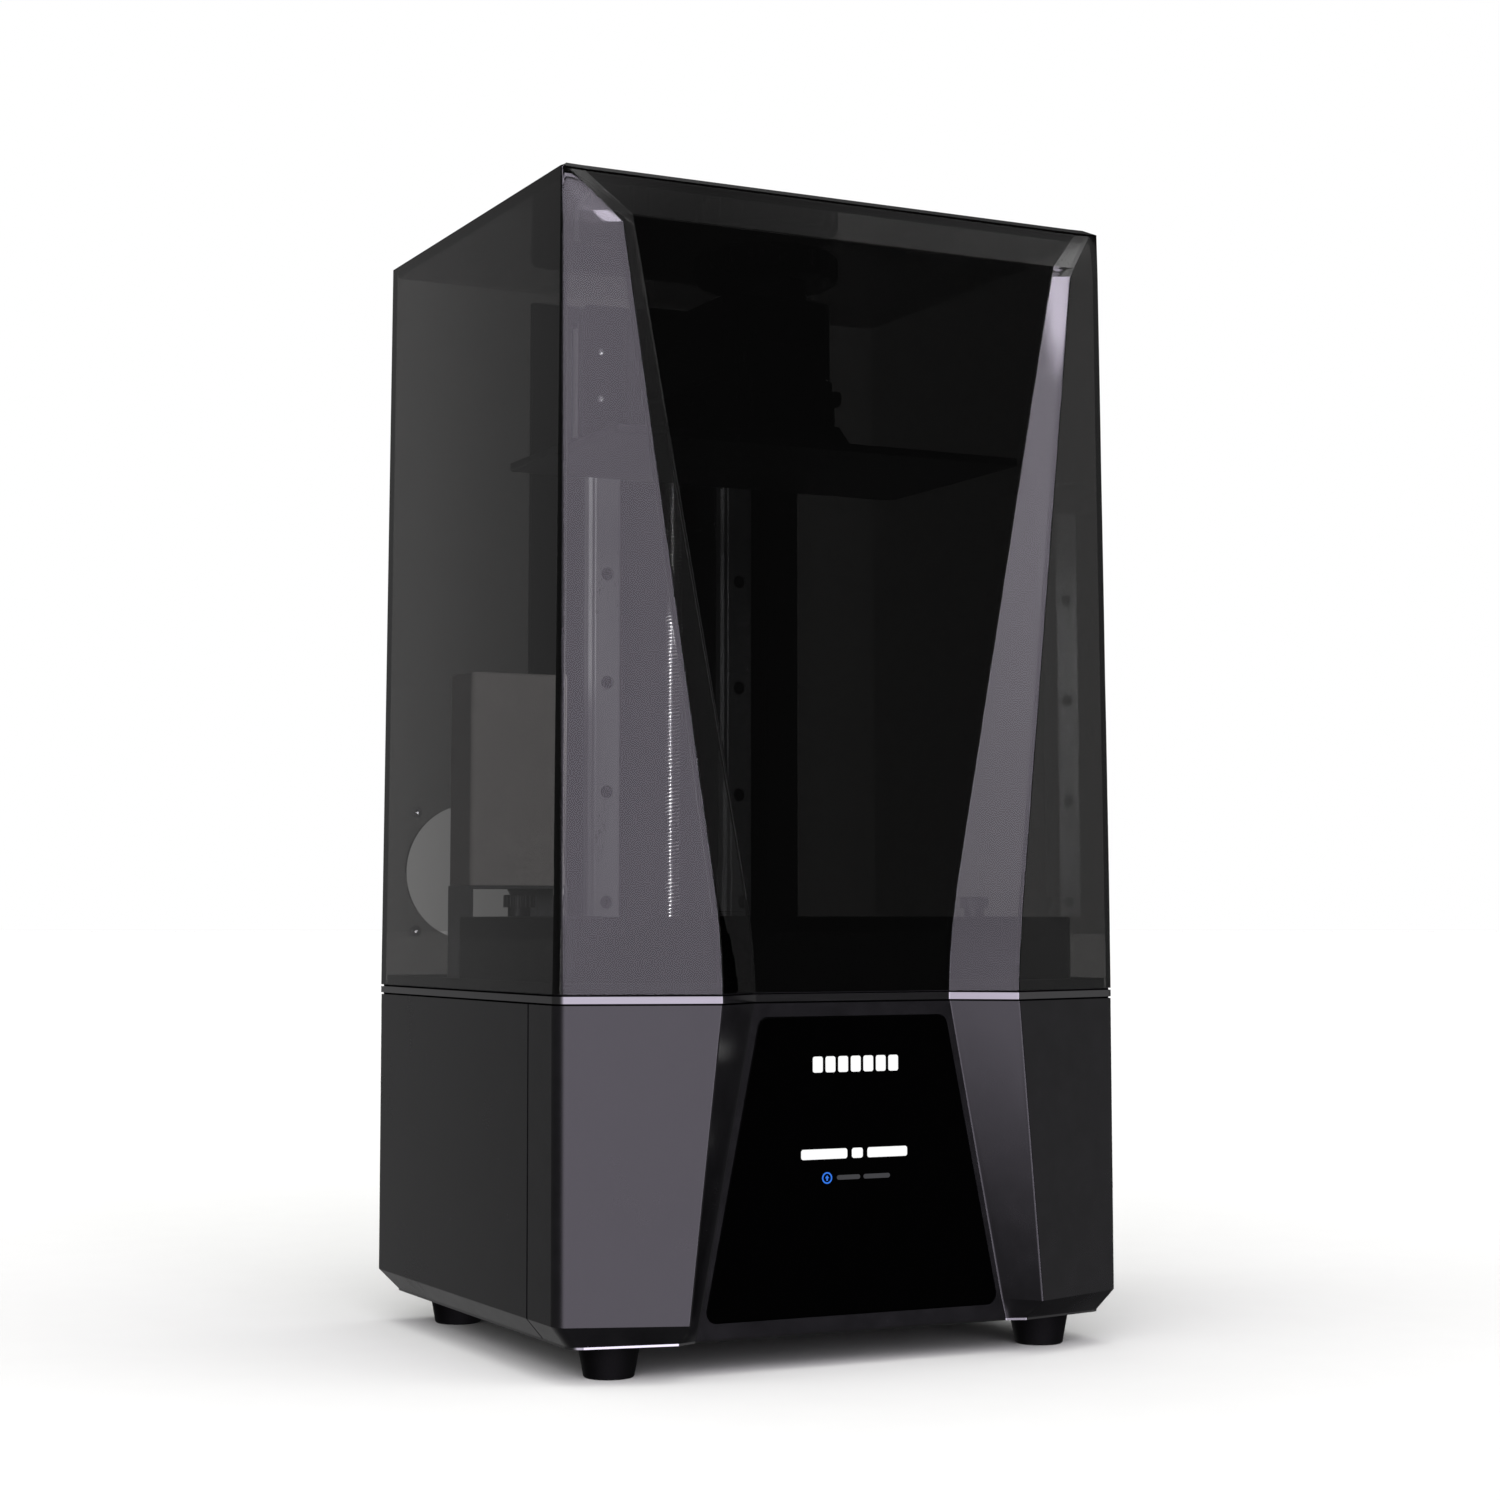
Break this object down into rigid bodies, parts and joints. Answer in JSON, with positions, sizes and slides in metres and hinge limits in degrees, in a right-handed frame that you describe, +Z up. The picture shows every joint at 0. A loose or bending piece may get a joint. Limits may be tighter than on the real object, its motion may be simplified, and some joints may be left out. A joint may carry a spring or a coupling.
{
  "type": "resin printer",
  "caption": "Desktop masked-screen resin 3-D printer: faceted dark base with a trapezoid touch panel, smoked lift-off cover, rail tower, build platform and resin vat.",
  "frame": {"origin": "centre of the footprint on the table surface under the rubber feet", "axes": "+Z up out of the table, front face with the touch panel towards -Y, +X to the viewer's right when facing the front"},
  "size_m": [0.307, 0.2708, 0.5719],
  "materials": {
    "smoked_acrylic": "gloss, tinted, see-through",
    "graphite_plastic": "fine satin",
    "graphite_sheet": "fine satin powder coat",
    "trim_grey": "satin",
    "black_glass": "gloss",
    "screen_glass": "gloss",
    "clear_lens": "clear",
    "black_plastic": "satin",
    "white_plastic": "satin",
    "warm_grey_plastic": "satin",
    "soft_rubber": "matte",
    "black_anodised": "anodised",
    "bare_aluminium": "brushed",
    "rail_steel": "ground",
    "screw_steel": "machined",
    "dark_screw_steel": "black oxide",
    "nut_polymer": "satin",
    "brass": "machined",
    "board_green": "solder mask",
    "film_clear": "clear film",
    "filter_black": "open foam",
    "bright_button": "gloss"
  },
  "bodies": {
    "base": {"base_shell": "graphite_sheet", "front_bezel": "graphite_plastic", "bottom_plate": "trim_grey", "rubber_feet": "soft_rubber", "foot_screws": "dark_screw_steel", "deck_trim": "trim_grey", "deck_plate": "black_anodised", "mask_lcd": "screen_glass", "mask_glass": "screen_glass", "light_hood": "black_plastic", "fresnel_lens": "clear_lens", "lamp_board": "board_green", "heat_sink": "bare_aluminium", "lamp_fan_frame": "black_plastic", "exhaust_fan_frame": "black_plastic", "main_board": "board_green", "touch_glass": "black_glass", "touch_display": "black_plastic", "power_inlet": "black_plastic", "switch_frame": "black_plastic", "usb_socket": "rail_steel", "tower_column": "black_anodised", "tower_fascia": "black_plastic", "tower_cap": "black_plastic", "linear_rails": "rail_steel", "rail_screws": "dark_screw_steel", "screw_bearings": "screw_steel", "z_motor": "black_plastic", "motor_bracket": "rail_steel", "limit_sensor": "black_plastic", "vat_frame": "black_anodised", "vat_film": "film_clear", "film_ring": "rail_steel", "purifier_bracket": "trim_grey", "purifier_case": "warm_grey_plastic", "purifier_filter": "filter_black"},
    "cover": {"cover_shell": "smoked_acrylic", "cover_top": "smoked_acrylic", "cover_gasket": "soft_rubber", "vent_screws": "screw_steel"},
    "carriage": {"rail_blocks": "rail_steel", "carriage_plate": "black_anodised", "carriage_screws": "screw_steel", "lead_nut": "nut_polymer", "limit_flag": "rail_steel", "platform_arm": "black_anodised", "platform_head": "bare_aluminium", "build_plate": "bare_aluminium", "platform_screws": "dark_screw_steel"},
    "screw": {"lead_screw": "screw_steel", "motor_shaft": "screw_steel", "shaft_coupler": "bare_aluminium"},
    "knob": {"clamp_knob": "black_plastic", "clamp_stud": "screw_steel"},
    "vat_screw_left": {"vat_thumbscrew_left": "screw_steel"},
    "vat_screw_right": {"vat_thumbscrew_right": "screw_steel"},
    "rocker": {"power_rocker": "bright_button"},
    "lamp_fan": {"lamp_fan_rotor": "black_plastic"},
    "exhaust_fan": {"exhaust_fan_rotor": "black_plastic"},
    "purifier_fan": {"purifier_fan_rotor": "black_plastic"}
  },
  "joints": [
    {"name": "cover_lift", "type": "slide", "parent": "base", "child": "cover", "axis": [0, 0, 1], "range_m": [0, 0.42]},
    {"name": "z_travel", "type": "slide", "parent": "base", "child": "carriage", "axis": [0, 0, 1], "range_m": [-0.263, 0]},
    {"name": "screw_spin", "type": "hinge", "parent": "base", "child": "screw", "pos_m": [0, 0.09475, 0.25], "axis": [0, 0, 1], "range_deg": [0, 23900]},
    {"name": "clamp_turn", "type": "hinge", "parent": "carriage", "child": "knob", "pos_m": [0, -0.018, 0.55], "axis": [0, 0, 1], "range_deg": [0, 720]},
    {"name": "vat_screw_left_turn", "type": "hinge", "parent": "base", "child": "vat_screw_left", "pos_m": [-0.13, -0.01125, 0.2], "axis": [0, 0, 1], "range_deg": [0, 720]},
    {"name": "vat_screw_right_turn", "type": "hinge", "parent": "base", "child": "vat_screw_right", "pos_m": [0.13, -0.01125, 0.2], "axis": [0, 0, 1], "range_deg": [0, 720]},
    {"name": "power_rock", "type": "hinge", "parent": "base", "child": "rocker", "pos_m": [0.066, 0.1332, 0.052], "axis": [1, 0, 0], "range_deg": [-6, 6]},
    {"name": "lamp_fan_spin", "type": "hinge", "parent": "base", "child": "lamp_fan", "pos_m": [0, -0.018, 0.048], "axis": [0, 0, 1], "continuous": true},
    {"name": "exhaust_fan_spin", "type": "hinge", "parent": "base", "child": "exhaust_fan", "pos_m": [-0.086, 0.125, 0.098], "axis": [0, 1, 0], "continuous": true},
    {"name": "purifier_fan_spin", "type": "hinge", "parent": "base", "child": "purifier_fan", "pos_m": [-0.10075, 0.082, 0.33], "axis": [0, 0, 1], "continuous": true}
  ],
  "couplings": [
    {"joint": "screw_spin", "follows": "z_travel", "rad_per_m": -1570.8}
  ]
}
